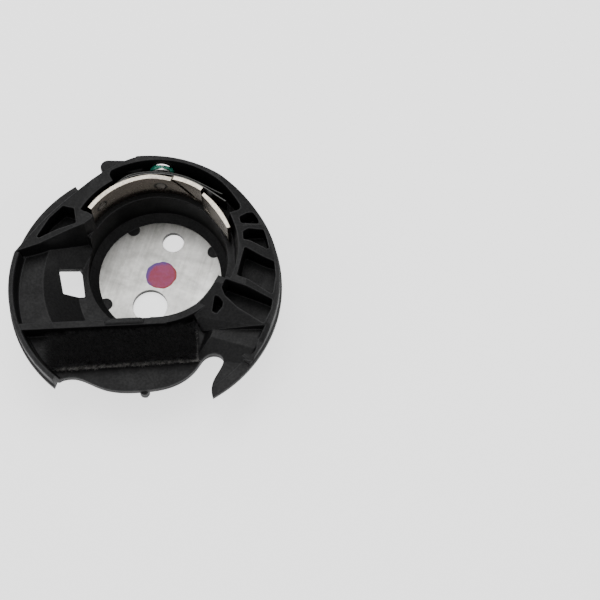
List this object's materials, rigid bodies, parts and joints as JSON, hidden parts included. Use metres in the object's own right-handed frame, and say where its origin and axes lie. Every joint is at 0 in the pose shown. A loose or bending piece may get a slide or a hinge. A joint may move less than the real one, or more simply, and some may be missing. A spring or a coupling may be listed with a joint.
{
  "type": "bobbin_case",
  "caption": "Drop-in sewing machine bobbin case: off-centre cup in a round flange, spring-tensioned thread guide with adjusting screw, pile strip",
  "frame": {"origin": "centre of the cup's steel base plate, on its underside", "axes": "+Z along the bobbin's axis, out of the open mouth; +Y towards the tension spring and its screw; -Y towards the pile strip"},
  "size_m": [0.042, 0.0409, 0.0125],
  "materials": {
    "case_plastic": "satin moulded plastic",
    "plate_steel": "rolled sheet steel",
    "guide_steel": "polished spring steel",
    "screw_steel": "turned steel with a dab of locking paint",
    "adhesive": "thin adhesive film",
    "backing_cloth": "woven backing cloth",
    "pile": "short cut pile"
  },
  "bodies": {
    "case": {"case_body": "case_plastic", "base_plate": "plate_steel", "thread_guide_plate": "guide_steel", "thread_exit_plate": "guide_steel", "fixing_screw": "screw_steel", "strip_adhesive": "adhesive", "strip_backing": "backing_cloth", "strip_pile": "pile"},
    "screw": {"adjusting_screw": "screw_steel"},
    "spring": {"tension_spring": "guide_steel"},
    "leaf": {"pressure_leaf": "guide_steel"}
  },
  "joints": [
    {"name": "adjusting_screw_turn", "type": "hinge", "parent": "case", "child": "screw", "pos_m": [-0.00348, 0.01346, 0.0098], "axis": [-0.2504, 0.9681, 0], "range_deg": [-180, 180]},
    {"name": "pressure_leaf_flex", "type": "hinge", "parent": "case", "child": "leaf", "pos_m": [-0.01004, 0.00842, 0.00995], "axis": [0, 0, 1], "range_deg": [0, 0.8]},
    {"name": "tension_spring_flex", "type": "hinge", "parent": "case", "child": "spring", "pos_m": [-0.00984, 0.00826, 0.00995], "axis": [0, 0, 1], "range_deg": [0, 0.8], "stiffness_Nm_per_rad": 0.005}
  ],
  "couplings": [
    {"joint": "pressure_leaf_flex", "follows": "tension_spring_flex", "ratio": 1}
  ]
}
